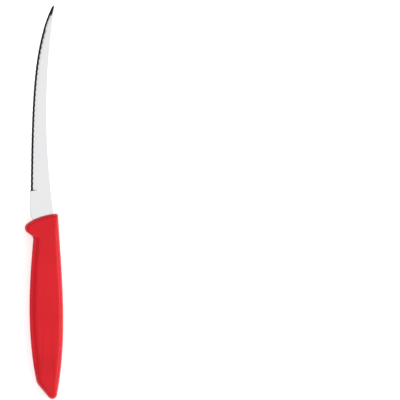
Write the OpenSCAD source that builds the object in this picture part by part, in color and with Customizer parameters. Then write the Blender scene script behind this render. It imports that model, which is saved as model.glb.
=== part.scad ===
// Tomato knife lying on its side: tip towards -X, cutting edge towards -Y.
// Lengths along X are counted from the blade's exit at the handle, before the last shift.

/* [Blade] */
// Length of the blade from the handle to the tip
blade_len = 127; // [110:1:140]
// Thickness of the steel
blade_t = 1.1; // [0.9:0.05:1.4]
// Height of the spine at the handle
spine_root_y = 5; // [4.6:0.1:5.6]
// Pull of the spine's hollow curve near the handle
spine_root_pull = -0.8; // [-1.6:0.1:0]
// Pull of the spine's hollow curve near the tip
spine_tip_pull = -1.05; // [-1.6:0.05:0]
// Height of the spine at the tip
spine_tip_y = 5.5; // [5.2:0.1:6.5]
// Height of the edge at the handle
edge_root_y = -9.1; // [-9.6:0.1:-8.4]
// Height of the edge at the tip
edge_tip_y = 4.2; // [3.4:0.1:4.4]
// How late the edge sweeps up to the tip
edge_sweep = 4.7; // [4:0.1:5.5]

/* [Grind] */
// Length of the unsharpened heel
heel_len = 14.8; // [10:0.2:20]
// How far the unsharpened heel stands past the ground edge
heel_step = 0.3; // [0.1:0.05:0.5]
// Radius of the heel where it enters the handle
heel_r = 8; // [7.5:0.5:12]
// Length of the plain bevel at the tip
plain_tip_len = 14.5; // [10:0.5:20]
// Distance between two teeth
tooth_pitch = 3.15; // [2.5:0.05:4]
// Depth of the wave in the cutting edge
tooth_depth = 0.14; // [0.05:0.01:0.25]
// Depth of the wave where the bevel meets the flank
hollow_depth = 0.24; // [0.05:0.01:0.4]
// Width of the toothed bevel
bevel_w = 1.25; // [1:0.05:1.5]
// Steel taken off at the bevel's inner border
flank_drop = 0.3; // [0.1:0.05:0.4]
// Thickness left at the cutting edge
edge_land = 0.12; // [0.08:0.01:0.2]
// Width of the ground flank at the heel
flank_root_w = 5.2; // [4:0.1:6]
// Width of the ground flank at the tip
flank_tip_w = 1.9; // [1.8:0.1:3]

/* [Tang] */
// Depth of the blade's full width inside the handle
root_depth = 4; // [3:0.5:4.5]
// Length of the tang inside the handle
tang_len = 62; // [55:1:80]
// Width of the tang
tang_w = 8; // [7:0.5:9]
// Height of the tang's middle line
tang_y = 0.4; // [-0.5:0.1:1]
// Diameter of the two holes through the tang
tang_hole_d = 4; // [3:0.5:5]
// Place of the first hole
tang_hole_front = 22; // [15:1:28]
// Place of the second hole
tang_hole_back = 46; // [36:1:50]
// Clearance between the steel and the moulding
tang_gap = 0.03; // [0.01:0.01:0.08]

/* [Handle] */
// Thickness of the handle
handle_t = 12.4; // [10:0.2:15]
// Distance from the blade's exit to the butt
handle_len = 110.5; // [106:0.5:118]
// Place of the handle's front corner at the spine
front_x = -1.6; // [-2.5:0.1:-1]
// Height of the handle's front corner at the spine
front_y = 7.6; // [7:0.1:8.5]
// Radius of the front corner
front_r = 1; // [0.5:0.1:1.5]
// Pull of the handle's back near the front
back_front_pull = 9.7; // [9:0.1:10.5]
// Pull of the handle's back near the butt
back_butt_pull = 13.8; // [13:0.1:15]

/* [Guard] */
// Place of the guard's nose
guard_x = 7.2; // [6.5:0.1:7.5]
// How far the guard's nose reaches down
guard_reach = 12.6; // [12.2:0.1:13.5]
// Radius of the guard's nose and of the hollow behind it
guard_r = 3.4; // [3:0.1:3.6]

/* [Grip] */
// Start of the grip behind the guard
grip_x = 14.3; // [14:0.1:16]
// Height of the grip's edge side behind the guard
grip_y = -7.5; // [-8:0.1:-7]
// Pull of the belly near the guard
belly_front_pull = -10.2; // [-11:0.1:-9]
// Pull of the belly near the butt
belly_butt_pull = -11.4; // [-12:0.1:-10]
// Place of the corner where the oblique butt cut starts
cut_x = 100.8; // [98:0.2:102]
// Height of the corner where the oblique butt cut starts
cut_y = -5.4; // [-6:0.1:-4.5]
// Radius of the butt
butt_r = 2.9; // [2.5:0.1:3.2]
// Height of the butt's middle
butt_y = 4.1; // [3.6:0.1:4.5]
// Width of the rounded shoulder along the back
back_shoulder = 3.6; // [3:0.1:4.5]
// Width of the scooped shoulder along the belly
belly_shoulder = 5.2; // [4.5:0.1:6]
// Squareness of the shoulders, less is squarer
shoulder_form = 0.8; // [0.6:0.05:1]
// Height of the belly's lower shelf above the middle plane
shelf_z = 4.5; // [3.5:0.1:4.8]

/* [Hidden] */

STEEL = [0.90, 0.90, 0.91];
RED = [0.80, 0.06, 0.10];
plug_bite = 1;
half_t = blade_t / 2;
half_h = handle_t / 2;

// Points per curve, and how finely the teeth are drawn
curve_steps = 34;
front_steps = 9;
arc_steps = 8;
tooth_steps = 8;
shoulder_steps = 10;

function mix(a, b, s) = a + (b - a) * s;
function ramp(s) = let(c = min(max(s, 0), 1)) c * c * (3 - 2 * c);

// Cubic through four pulls, and the same for points
function pull4(a, b, c, d, s) =
    a * pow(1 - s, 3) + 3 * b * s * pow(1 - s, 2) + 3 * c * s * s * (1 - s) + d * pow(s, 3);
function on_circle(c, r, angle) = c + r * [cos(angle), sin(angle)];

// Skins a list of equal rings and closes both ends, each with one flat face or round its hub
module loft(rings, hubs = []) {
    n = len(rings[0]);
    last = len(rings) - 1;
    sides = [
        for (i = [0 : last - 1], j = [0 : n - 1])
            let(a = i * n + j, b = i * n + (j + 1) % n)
                each [[a, b, b + n], [a, b + n, a + n]]
    ];
    hub = (last + 1) * n;
    caps = len(hubs) == 0
        ? [[for (j = [n - 1 : -1 : 0]) j], [for (j = [0 : n - 1]) last * n + j]]
        : [
            for (j = [0 : n - 1])
                let(k = (j + 1) % n)
                    each [[hub, k, j], [hub + 1, last * n + j, last * n + k]]
        ];
    polyhedron(points = concat([for (ring = rings) each ring], hubs), faces = concat(caps, sides));
}

// Blade outline: x is negative towards the tip
function reach(x) = min(max(-x / blade_len, 0), 1);
function spine_y(x) = pull4(spine_root_y, spine_root_pull, spine_tip_pull, spine_tip_y, reach(x));
function edge_y(x) =
    mix(edge_root_y, edge_tip_y, (exp(edge_sweep * reach(x)) - 1) / (exp(edge_sweep) - 1));

// The tip's end is round, as wide as the blade is there
tip_r = (spine_tip_y - edge_tip_y) / 2;
tip_y = (spine_tip_y + edge_tip_y) / 2;
tip_x = -blade_len + tip_r;
function tip_half(x) = sqrt(max(tip_r * tip_r - pow(min(x - tip_x, 0), 2), 0));

// The heel turns up into the handle
heel_turn_x = -2.6;
function heel_rise(x) = let(d = max(x - heel_turn_x, 0)) heel_r - sqrt(heel_r * heel_r - d * d);

function high_y(x) = x < tip_x ? tip_y + tip_half(x) : spine_y(x);
function low_y(x) = x < tip_x ? tip_y - tip_half(x) : edge_y(x) + heel_rise(x);

// How much of the grind there is: none on the heel, all past it
grind_run = 1.2;
function grind(x) = ramp((-heel_len - x) / grind_run);
tooth_count = floor((blade_len - heel_len - plain_tip_len) / tooth_pitch);
teeth_start_x = plain_tip_len - blade_len + tooth_count * tooth_pitch;
function tooth(x) =
    let(s = (teeth_start_x - x) / tooth_pitch)
        s > 0 && s < tooth_count ? abs(sin(180 * s)) : 0;

// One cross-section of the blade, from the spine round by the ground side to the back
function blade_ring(x) =
    let(
        top = high_y(x),
        low = low_y(x),
        width = top - low,
        g = grind(x),
        edge = low - heel_step * (1 - g) + tooth_depth * tooth(x) * g,
        bevel = min(mix(0.1, bevel_w + hollow_depth * tooth(x), g), 0.55 * width),
        flank = min(mix(0.2, mix(flank_root_w, flank_tip_w, reach(x)), g), 0.8 * width),
        edge_z = mix(half_t - 0.1, edge_land - half_t, g),
        bevel_z = mix(half_t - 0.03, half_t - flank_drop, g)
    )
    [
        [x, top, -half_t],
        [x, top, half_t],
        [x, low + flank, half_t],
        [x, low + bevel, bevel_z],
        [x, low + bevel / 2, (edge_z + bevel_z) / 2 - 0.4 * hollow_depth * tooth(x) * g],
        [x, edge, edge_z],
        [x, edge, -half_t],
    ];

stations = concat(
    [for (x = [root_depth : -1 : -heel_len + 1]) x],
    [for (i = [0 : 4]) -heel_len - i * grind_run / 5],
    [
        for (i = [0 : tooth_count * tooth_steps])
            let(x = teeth_start_x - i * tooth_pitch / tooth_steps)
                if (x < -heel_len - grind_run) x
    ],
    [for (x = [plain_tip_len - blade_len - 0.8 : -0.8 : tip_x]) x],
    [for (a = [10 : 16 : 82]) tip_x - tip_r * sin(a)]
);

// Flat outline of the tang, grown by a clearance
module tang_outline(grow) {
    width = tang_w + 2 * grow;
    translate([0, tang_y - width / 2])
        square([tang_len - tang_w / 2, width]);
    translate([tang_len - tang_w / 2, tang_y])
        circle(d = width, $fn = 48);
}

module at_tang_holes() {
    for (x = [tang_hole_front, tang_hole_back])
        translate([x, tang_y, 0])
            children();
}

// Room for the tang and the blade's root inside the handle
module pocket_layer() {
    depth = blade_t + 2 * tang_gap;
    translate([0, 0, -depth / 2])
        linear_extrude(depth)
            children();
}

module root_outline(grow) {
    end_x = root_depth + grow;
    heel = [for (x = [-root_depth : 1 : root_depth]) [x, low_y(x) - heel_step - grow]];
    polygon(concat(
        heel,
        [
            [end_x, heel[len(heel) - 1].y],
            [end_x, high_y(root_depth) + grow],
            [0, high_y(0) + grow],
            [-root_depth, high_y(-root_depth) + grow]
        ]
    ));
}

module tang_pocket() {
    pocket_layer()
        tang_outline(tang_gap);
    pocket_layer()
        root_outline(tang_gap);
}

// Handle outline in plan, counter-clockwise from the front corner at the spine
nose = [guard_x, guard_r - guard_reach];
hollow = [grip_x, grip_y - guard_r];
nose_to_hollow = hollow - nose;
lean = atan2(nose_to_hollow.y, nose_to_hollow.x);
nose_turn = lean - acos(min(2 * guard_r / norm(nose_to_hollow), 1));
nose_start = 205;

butt = [handle_len - butt_r, butt_y];
cut = [cut_x, cut_y];
cut_angle = atan2(butt.y - cut.y, butt.x - cut.x) - asin(butt_r / norm(butt - cut));
butt_top_angle = 80;
back_end = on_circle(butt, butt_r, butt_top_angle);
cut_easing = 1.2;

front_corner = [front_x + front_r, front_y - front_r];
front_end = on_circle(nose, guard_r, nose_start);
front_pull_high = [-0.9, -0.8];
front_pull_low = [2, -8.2];

function front_point(s) = [
    pull4(front_x, front_pull_high.x, front_pull_low.x, front_end.x, s),
    pull4(front_corner.y, front_pull_high.y, front_pull_low.y, front_end.y, s)
];
function belly_point(s) = [
    mix(grip_x, cut_x - cut_easing, s),
    pull4(grip_y, belly_front_pull, belly_butt_pull, cut_y - cut_easing * 0.2, s)
];
function back_point(s) = [
    mix(back_end.x, front_corner.x, s),
    pull4(back_end.y, back_butt_pull, back_front_pull, front_y, s)
];

outline = concat(
    [for (a = [90 : 30 : 150]) on_circle(front_corner, front_r, a)],
    [for (i = [0 : front_steps - 1]) front_point(i / front_steps)],
    [for (i = [0 : arc_steps]) on_circle(nose, guard_r, mix(nose_start, nose_turn + 360, i / arc_steps))],
    [for (i = [0 : arc_steps - 1]) on_circle(hollow, guard_r, mix(nose_turn + 180, 90, i / arc_steps))],
    [for (i = [0 : curve_steps]) belly_point(i / curve_steps)],
    [for (i = [0 : 2]) cut + (cut_easing + i * 3.2) * [cos(cut_angle), sin(cut_angle)]],
    [
        for (i = [0 : arc_steps])
            on_circle(butt, butt_r, mix(cut_angle - 90, butt_top_angle, i / arc_steps))
    ],
    [for (i = [1 : curve_steps - 1]) back_point(i / curve_steps)]
);

// The handle's middle line, which every cross-section of the handle runs in to
middle_front = [grip_x, (grip_y + back_point(1).y) / 2];
middle_back = [cut_x - 5, (cut_y + back_end.y) / 2 + 0.6];
function middle(p) =
    let(s = min(max((p.x - middle_front.x) / (middle_back.x - middle_front.x), 0), 1))
        mix(middle_front, middle_back, s);

// How far the belly is scooped at a point: none on the guard, the back and the butt
scoop_start_x = 9.5;
scoop_run = 5;
scoop_end_run = 14;
function scoop(p) =
    p.y > 0 ? 0 : ramp((p.x - scoop_start_x) / scoop_run) * ramp((cut_x - p.x) / scoop_end_run);

// Height of the shoulder, by its angle from the rim to the flat side
shelf_start = 50;
shelf_run = 40;
function shoulder_z(p, a) =
    mix(
        half_h * pow(sin(a), shoulder_form),
        shelf_z * sin(min(3 * a, 90)) + (half_h - shelf_z) * ramp((a - shelf_start) / shelf_run),
        scoop(p)
    );
function shoulder_in(p, a) =
    mix(back_shoulder, belly_shoulder, scoop(p)) * (1 - pow(cos(a), shoulder_form));
function shoulder_point(p, a, side) =
    let(
        to_middle = middle(p) - p,
        q = p + to_middle / norm(to_middle) * shoulder_in(p, a)
    )
    [q.x, q.y, side * shoulder_z(p, a)];

angles = [for (i = [0 : shoulder_steps]) 90 * i / shoulder_steps];
// The rings run from the upper flat side down to the lower one
handle_rings = concat(
    [
        for (i = [shoulder_steps : -1 : 1])
            [for (p = outline) shoulder_point(p, angles[i], 1)]
    ],
    [for (i = [0 : shoulder_steps]) [for (p = outline) shoulder_point(p, angles[i], -1)]]
);

// Each flat side is closed round the middle line's front end, from which all its rim is seen
handle_hubs = [for (side = [1, -1]) [middle_front.x, middle_front.y, side * half_h]];

// The whole knife's middle goes to the origin, and its lower side to the table
lowest_y = -guard_reach;
highest_y = max([for (p = outline) p.y]);
shift = [(blade_len - handle_len) / 2, -(lowest_y + highest_y) / 2, half_h];

module blade() {
    color(STEEL)
        translate(shift)
            difference() {
                union() {
                    loft([for (x = stations) blade_ring(x)]);
                    translate([0, 0, -half_t])
                        linear_extrude(blade_t)
                            tang_outline(0);
                }
                at_tang_holes()
                    cylinder(d = tang_hole_d, h = 2 * blade_t, center = true, $fn = 48);
            }
}

module handle() {
    color(RED)
        translate(shift)
            union() {
                difference() {
                    loft(handle_rings, handle_hubs);
                    tang_pocket();
                }
                at_tang_holes()
                    cylinder(
                        d = tang_hole_d - 2 * tang_gap,
                        h = blade_t + 2 * plug_bite,
                        center = true,
                        $fn = 48
                    );
            }
}

blade();
handle();
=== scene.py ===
"""Tomato knife: a ground steel blade moulded into a red plastic handle, lying on its side."""
import math

import bpy
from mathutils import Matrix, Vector


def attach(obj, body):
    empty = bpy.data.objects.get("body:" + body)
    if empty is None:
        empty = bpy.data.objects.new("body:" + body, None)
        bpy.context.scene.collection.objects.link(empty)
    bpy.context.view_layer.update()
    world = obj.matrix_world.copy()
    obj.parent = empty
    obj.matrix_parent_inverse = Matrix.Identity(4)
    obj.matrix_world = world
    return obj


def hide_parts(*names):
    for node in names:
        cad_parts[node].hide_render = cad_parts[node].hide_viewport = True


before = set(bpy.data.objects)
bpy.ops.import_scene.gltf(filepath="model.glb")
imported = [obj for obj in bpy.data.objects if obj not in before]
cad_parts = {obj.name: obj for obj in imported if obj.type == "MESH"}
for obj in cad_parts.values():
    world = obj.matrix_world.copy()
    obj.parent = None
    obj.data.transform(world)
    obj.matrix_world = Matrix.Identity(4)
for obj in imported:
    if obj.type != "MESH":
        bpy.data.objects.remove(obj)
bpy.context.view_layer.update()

bl_info = {
    "name": "Tomato knife",
    "version": (1, 0, 0),
    "blender": (4, 5, 0),
    "location": "View3D > Sidebar > Knife",
    "description": "Makes a tomato knife with its blade and moulded handle",
    "category": "Object",
}

MM = 0.001

# The photograph: its side in pixels, a pixel's size and its middle's place in millimetres.
# The tip points up in it, so the camera is turned.
PHOTO_SIDE = 400
PHOTO_MM_PER_PIXEL = 0.6033
VIEW_X = -1.4
VIEW_Y = 94.1
PHOTO_TURN = math.radians(90)
# The camera's height and the furthest that it sees, in metres
CAMERA_HEIGHT = 1.0
CAMERA_REACH = 10

# A face on the edge's side gets the tooth bevel's painted shade if the height of its normal
# lies between these.
# The polished side and the ground flank lie above them, the sheet's rims and back below.
SHADED_BEVEL_NORMAL_MIN = 0.2
SHADED_BEVEL_NORMAL_MAX = 0.93

# Grinding lines run across the blade, so their noise is drawn out along Y. The tooth wheel's
# lines go down its slope too.
GRIND_STRETCH = (1, 0.02, 1)
TOOTH_STRETCH = (1, 0.1, 0.1)
# Noise values between which a grain turns from its first tone to its last
WIDE_SPAN = (0.3, 0.7)
NARROW_SPAN = (0.35, 0.65)
# Roughness where the grain is smoothest and where it is roughest
STEEL_ROUGHNESS = (0.22, 0.28)
PLASTIC_ROUGHNESS = (0.36, 0.48)

# The lights point at the middle of the handle's thickness
LIGHT_AIM = Vector((0, 0, 6 * MM))
WHITE = (1, 1, 1, 1)


class KnifeSizes(bpy.types.PropertyGroup):
    """Sizes of the finish and the view"""

    merge: bpy.props.FloatProperty(
        name="Merge distance", description="Points closer than this become one",
        default=0.004 * MM, unit="LENGTH")
    flat_angle: bpy.props.FloatProperty(
        name="Flat angle", description="Faces that turn less than this become one flat face",
        default=math.radians(0.2), subtype="ANGLE")
    edge_angle: bpy.props.FloatProperty(
        name="Sharp angle", description="Edges sharper than this stay sharp on the steel",
        default=math.radians(9), subtype="ANGLE")
    mould_angle: bpy.props.FloatProperty(
        name="Moulded angle", description="Edges sharper than this stay sharp on the handle",
        default=math.radians(50), subtype="ANGLE")
    grit: bpy.props.FloatProperty(
        name="Grinding line", description="Spacing of the grinding lines",
        default=0.35 * MM, unit="LENGTH")
    spark: bpy.props.FloatProperty(
        name="Spark texture", description="Size of the fine spark texture of the mould",
        default=0.35 * MM, unit="LENGTH")
    flow: bpy.props.FloatProperty(
        name="Flow", description="Size of the slow changes in the plastic's red",
        default=25 * MM, unit="LENGTH")
    floor_side: bpy.props.FloatProperty(
        name="Floor", description="Side of the floor", default=4.0, unit="LENGTH")


class KnifeColours(bpy.types.PropertyGroup):
    """Colours of the materials, as sRGB hex"""

    steel: bpy.props.StringProperty(
        name="Steel", description="Polished side of the blade", default="E9E9EA")
    steel_line: bpy.props.StringProperty(
        name="Steel lines", description="Fine grinding lines in the polish", default="E6E6E8")
    # The tooth bevel's dark grey and its lighter lines are painted shade: the same steel,
    # darkened where its steep faces turn from the light.
    bevel: bpy.props.StringProperty(
        name="Tooth bevel painted shade", description="Steep ground bevel with the teeth", default="2E2E30")
    bevel_line_painted_shade: bpy.props.StringProperty(
        name="Tooth lines", description="Lighter lines in the tooth grind", default="3C3C3F")
    plastic: bpy.props.StringProperty(
        name="Plastic", description="Red of the moulded handle", default="DA1020")
    plastic_deep: bpy.props.StringProperty(
        name="Deep plastic", description="Deeper red that clouds the plastic", default="D20C1B")
    floor: bpy.props.StringProperty(
        name="Floor", description="Floor under the knife", default="FFFFFF")


class KnifeLights(bpy.types.PropertyGroup):
    """Places, sides and powers of the lights"""

    overhead_place: bpy.props.FloatVectorProperty(
        name="Overhead place", description="Place of the broad light over the knife",
        default=(0, 0.05, 1.6), subtype="TRANSLATION", unit="LENGTH")
    overhead_side: bpy.props.FloatProperty(
        name="Overhead side", description="Side of the broad light",
        default=2.6, unit="LENGTH")
    overhead_watts: bpy.props.FloatProperty(
        name="Overhead power", description="Power of the broad light in watts", default=11.2)
    key_place: bpy.props.FloatVectorProperty(
        name="Key place", description="Place of the small light on the spine's side",
        default=(0.1, 1.0, 0.75), subtype="TRANSLATION", unit="LENGTH")
    key_side: bpy.props.FloatProperty(
        name="Key side", description="Side of the small light", default=0.7, unit="LENGTH")
    key_watts: bpy.props.FloatProperty(
        name="Key power", description="Power of the small light in watts", default=8)
    world: bpy.props.FloatProperty(
        name="World", description="Strength of the white surroundings", default=0.5)
    floor_glow: bpy.props.FloatProperty(
        name="Floor glow", description="Glow that keeps the floor white in view", default=0.45)


def linear(hex_colour):
    """sRGB hex to Blender's linear colour"""
    channels = [int(hex_colour[i:i + 2], 16) / 255 for i in (0, 2, 4)]
    return [c / 12.92 if c <= 0.04045 else ((c + 0.055) / 1.055) ** 2.4 for c in channels] + [1]


def grey(value):
    """A number as a colour, for a ramp that drives a number"""
    return (value, value, value, 1)


def new_material(name):
    """An empty node material and its tree"""
    material = bpy.data.materials.new(name)
    material.use_nodes = True
    material.node_tree.nodes.clear()
    return material, material.node_tree


def add_node(tree, kind, settings=None, inputs=None, links=None):
    """Adds a node, sets its properties and sockets, and links sockets to it"""
    node = tree.nodes.new(kind)
    for name, value in (settings or {}).items():
        setattr(node, name, value)
    for name, value in (inputs or {}).items():
        node.inputs[name].default_value = value
    for name, socket in (links or {}).items():
        tree.links.new(socket, node.inputs[name])
    return node


def add_noise(tree, spacing, detail, roughness=0.5, stretch=None):
    """Noise of a given spacing in the piece's own space, drawn out along some axes"""
    place = add_node(tree, "ShaderNodeTexCoord").outputs["Object"]
    if stretch:
        place = add_node(tree, "ShaderNodeMapping", inputs={"Scale": stretch},
                         links={"Vector": place}).outputs["Vector"]
    noise = add_node(tree, "ShaderNodeTexNoise",
                     inputs={"Scale": 1 / spacing, "Detail": detail, "Roughness": roughness},
                     links={"Vector": place})
    return noise.outputs["Fac"]


def add_ramp(tree, factor, span, ends):
    """Colour that runs from the first end to the last over a span of the factor"""
    node = add_node(tree, "ShaderNodeValToRGB", links={"Fac": factor})
    for element, position, colour in zip(node.color_ramp.elements, span, ends):
        element.position = position
        element.color = colour
    return node.outputs["Color"]


def add_relief(tree, height, strength, depth):
    """Normal of a shallow relief"""
    node = add_node(tree, "ShaderNodeBump", inputs={"Strength": strength, "Distance": depth},
                    links={"Height": height})
    return node.outputs["Normal"]


def add_surface(tree, inputs, links):
    """A principled shader, joined to the material's output"""
    shader = add_node(tree, "ShaderNodeBsdfPrincipled", inputs=inputs, links=links)
    add_node(tree, "ShaderNodeOutputMaterial", links={"Surface": shader.outputs["BSDF"]})


def ground_stainless():
    """Martensitic stainless sheet, ground across its width and then buffed.

    To the eye it is a bright, even grey with faint lines across the blade, and it
    mirrors its surroundings softly.
    """
    scene = bpy.context.scene
    colours = scene.knife_colours
    material, tree = new_material("ground_stainless")
    lines = add_noise(tree, scene.knife_sizes.grit, 2, 0.6, GRIND_STRETCH)
    tones = (linear(colours.steel_line), linear(colours.steel))
    softness = [grey(value) for value in STEEL_ROUGHNESS]
    add_surface(tree, inputs={"Metallic": 1},
                links={"Base Color": add_ramp(tree, lines, WIDE_SPAN, tones),
                       "Roughness": add_ramp(tree, lines, WIDE_SPAN, softness),
                       "Normal": add_relief(tree, lines, strength=0.02, depth=0.01 * MM)})
    return material


def tooth_bevel_painted_shade():
    """The same stainless, cut by a coarse profiled wheel and left unbuffed.

    Its steep hollows turn away from the light, and that shade is painted into its colour: a
    dark grey base with faint lighter lines.
    """
    scene = bpy.context.scene
    colours = scene.knife_colours
    material, tree = new_material("tooth_bevel_painted_shade")
    lines = add_noise(tree, scene.knife_sizes.grit, 3, 0.6, TOOTH_STRETCH)
    # Dark grey tones: painted shade for the steep hollows. The grinding lines and the roughness
    # are the steel's own.
    tones = (linear(colours.bevel), linear(colours.bevel_line_painted_shade))
    add_surface(tree, inputs={"Metallic": 1, "Roughness": 0.45},
                links={"Base Color": add_ramp(tree, lines, NARROW_SPAN, tones),
                       "Normal": add_relief(tree, lines, strength=0.2, depth=0.02 * MM)})
    return material


def moulded_polypropylene():
    """Polypropylene, coloured in the mass and moulded in a finely spark-eroded tool.

    To the eye it is a saturated red with a soft satin sheen, a barely seen fine grain and
    a little light carried just under the surface.
    """
    scene = bpy.context.scene
    sizes, colours = scene.knife_sizes, scene.knife_colours
    material, tree = new_material("moulded_polypropylene")
    grain = add_noise(tree, sizes.spark, 3, 0.55)
    flow = add_noise(tree, sizes.flow, 2)
    tones = (linear(colours.plastic_deep), linear(colours.plastic))
    satin = [grey(value) for value in PLASTIC_ROUGHNESS]
    add_surface(tree,
                inputs={"IOR": 1.49, "Specular IOR Level": 0.25,
                        "Subsurface Weight": 0.05, "Subsurface Scale": 1 * MM},
                links={"Base Color": add_ramp(tree, flow, NARROW_SPAN, tones),
                       "Roughness": add_ramp(tree, grain, WIDE_SPAN, satin),
                       "Normal": add_relief(tree, grain, strength=0.18, depth=0.03 * MM)})
    return material


def matt_floor():
    """Matt white studio board: plain, with the knife's soft shadow on it.

    It glows for the camera and in reflections only, so that it looks white without
    lighting the knife from below.
    """
    scene = bpy.context.scene
    material, tree = new_material("matt_studio_board")
    path = add_node(tree, "ShaderNodeLightPath")
    seen = add_node(tree, "ShaderNodeMath", {"operation": "MAXIMUM"},
                    links={0: path.outputs["Is Camera Ray"], 1: path.outputs["Is Glossy Ray"]})
    glow = add_node(tree, "ShaderNodeEmission",
                    inputs={"Color": WHITE, "Strength": scene.knife_lights.floor_glow})
    board = add_node(tree, "ShaderNodeBsdfDiffuse",
                     inputs={"Color": linear(scene.knife_colours.floor)})
    both = add_node(tree, "ShaderNodeAddShader",
                    links={0: board.outputs["BSDF"], 1: glow.outputs["Emission"]})
    mix = add_node(tree, "ShaderNodeMixShader",
                   links={0: seen.outputs["Value"], 1: board.outputs["BSDF"],
                          2: both.outputs["Shader"]})
    add_node(tree, "ShaderNodeOutputMaterial", links={"Surface": mix.outputs["Shader"]})
    return material


def merged_copy(node_name, piece_name, sharp_angle, materials):
    """A copy of a construction solid with its points merged and its curves smooth"""
    sizes = bpy.context.scene.knife_sizes
    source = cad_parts[node_name]
    bpy.ops.object.select_all(action="DESELECT")
    source.select_set(True)
    bpy.context.view_layer.objects.active = source
    bpy.ops.object.duplicate()
    piece = bpy.context.view_layer.objects.active
    piece.name = piece_name
    piece.data.name = piece_name
    bpy.ops.object.mode_set(mode="EDIT")
    bpy.ops.mesh.select_all(action="SELECT")
    bpy.ops.mesh.remove_doubles(threshold=sizes.merge)
    bpy.ops.mesh.dissolve_limited(angle_limit=sizes.flat_angle)
    bpy.ops.object.mode_set(mode="OBJECT")
    bpy.ops.object.shade_smooth_by_angle(angle=sharp_angle)
    even = piece.modifiers.new("even_shading", "WEIGHTED_NORMAL")
    even.keep_sharp = True
    bpy.ops.object.modifier_apply(modifier=even.name)
    piece.data.materials.clear()
    for material in materials:
        piece.data.materials.append(material)
    return piece


class KNIFE_OT_blade(bpy.types.Operator):
    """Blade: polished flat, ground flank and toothed bevel in painted shade"""

    bl_idname = "knife.blade"
    bl_label = "Blade"

    def execute(self, context):
        piece = merged_copy("blade", "ground_blade", context.scene.knife_sizes.edge_angle,
                            (ground_stainless(), tooth_bevel_painted_shade()))
        for face in piece.data.polygons:
            # Steep faces on the edge's side take the second material, which is painted shade.
            steep = SHADED_BEVEL_NORMAL_MIN < face.normal.z < SHADED_BEVEL_NORMAL_MAX
            face.material_index = 1 if steep and face.normal.y < 0 else 0
        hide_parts("blade")
        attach(piece, "root")
        return {"FINISHED"}


class KNIFE_OT_handle(bpy.types.Operator):
    """Handle: one moulding with a guard, a scooped belly and an oblique butt"""

    bl_idname = "knife.handle"
    bl_label = "Handle"

    def execute(self, context):
        piece = merged_copy("handle", "moulded_handle", context.scene.knife_sizes.mould_angle,
                            (moulded_polypropylene(),))
        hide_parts("handle")
        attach(piece, "root")
        return {"FINISHED"}


def add_floor(side):
    """A square floor that the knife lies on"""
    bpy.ops.object.select_all(action="DESELECT")
    bpy.ops.mesh.primitive_plane_add(size=side, location=(0, 0, 0))
    floor = bpy.context.object
    floor.name = "floor"
    floor.data.materials.append(matt_floor())


def add_softbox(name, place, side, watts):
    """A square soft light that points at the knife"""
    data = bpy.data.lights.new(name, "AREA")
    data.shape = "SQUARE"
    data.size = side
    data.energy = watts
    lamp = bpy.data.objects.new(name, data)
    bpy.context.scene.collection.objects.link(lamp)
    lamp.location = place
    direction = LIGHT_AIM - lamp.location
    lamp.rotation_euler = direction.to_track_quat("-Z", "Y").to_euler()


def add_world(strength):
    """Even white surroundings"""
    world = bpy.data.worlds.new("studio_world")
    bpy.context.scene.world = world
    world.use_nodes = True
    back = world.node_tree.nodes["Background"]
    back.inputs["Color"].default_value = WHITE
    back.inputs["Strength"].default_value = strength


def add_photo_camera():
    """The photograph's camera, which looks straight down"""
    scene = bpy.context.scene
    data = bpy.data.cameras.new("photo_camera")
    data.type = "ORTHO"
    data.ortho_scale = PHOTO_SIDE * PHOTO_MM_PER_PIXEL * MM
    data.clip_end = CAMERA_REACH
    camera = bpy.data.objects.new("photo_camera", data)
    scene.collection.objects.link(camera)
    camera.location = (VIEW_X * MM, VIEW_Y * MM, CAMERA_HEIGHT)
    camera.rotation_euler = (0, 0, PHOTO_TURN)
    scene.camera = camera
    scene.view_settings.view_transform = "Standard"


class KNIFE_OT_stage(bpy.types.Operator):
    """Floor, soft lights, pale world and the photograph's straight-down camera"""

    bl_idname = "knife.stage"
    bl_label = "Stage"

    def execute(self, context):
        lights = context.scene.knife_lights
        add_floor(context.scene.knife_sizes.floor_side)
        add_softbox("overhead_light", lights.overhead_place, lights.overhead_side,
                    lights.overhead_watts)
        add_softbox("key_light", lights.key_place, lights.key_side, lights.key_watts)
        add_world(lights.world)
        add_photo_camera()
        return {"FINISHED"}


class KNIFE_PT_panel(bpy.types.Panel):
    """Lists the knife's pieces and settings in the sidebar"""

    bl_label = "Tomato knife"
    bl_space_type = "VIEW_3D"
    bl_region_type = "UI"
    bl_category = "Knife"

    def draw(self, context):
        scene = context.scene
        for operator in OPERATORS:
            self.layout.operator(operator.bl_idname)
        for group in (scene.knife_sizes, scene.knife_colours, scene.knife_lights):
            for name in group.__annotations__:
                self.layout.prop(group, name)


OPERATORS = (KNIFE_OT_blade, KNIFE_OT_handle, KNIFE_OT_stage)
CLASSES = (KnifeSizes, KnifeColours, KnifeLights) + OPERATORS + (KNIFE_PT_panel,)


def register():
    """Makes the operators, the panel and the scene's settings known to Blender"""
    for item in CLASSES:
        bpy.utils.register_class(item)
    bpy.types.Scene.knife_sizes = bpy.props.PointerProperty(type=KnifeSizes)
    bpy.types.Scene.knife_colours = bpy.props.PointerProperty(type=KnifeColours)
    bpy.types.Scene.knife_lights = bpy.props.PointerProperty(type=KnifeLights)


def unregister():
    """Takes back what register did"""
    del bpy.types.Scene.knife_lights
    del bpy.types.Scene.knife_colours
    del bpy.types.Scene.knife_sizes
    for item in reversed(CLASSES):
        bpy.utils.unregister_class(item)


def main():
    """Builds the stage and both pieces"""
    register()
    bpy.ops.knife.stage()
    bpy.ops.knife.blade()
    bpy.ops.knife.handle()


if __name__ == "__main__":
    main()
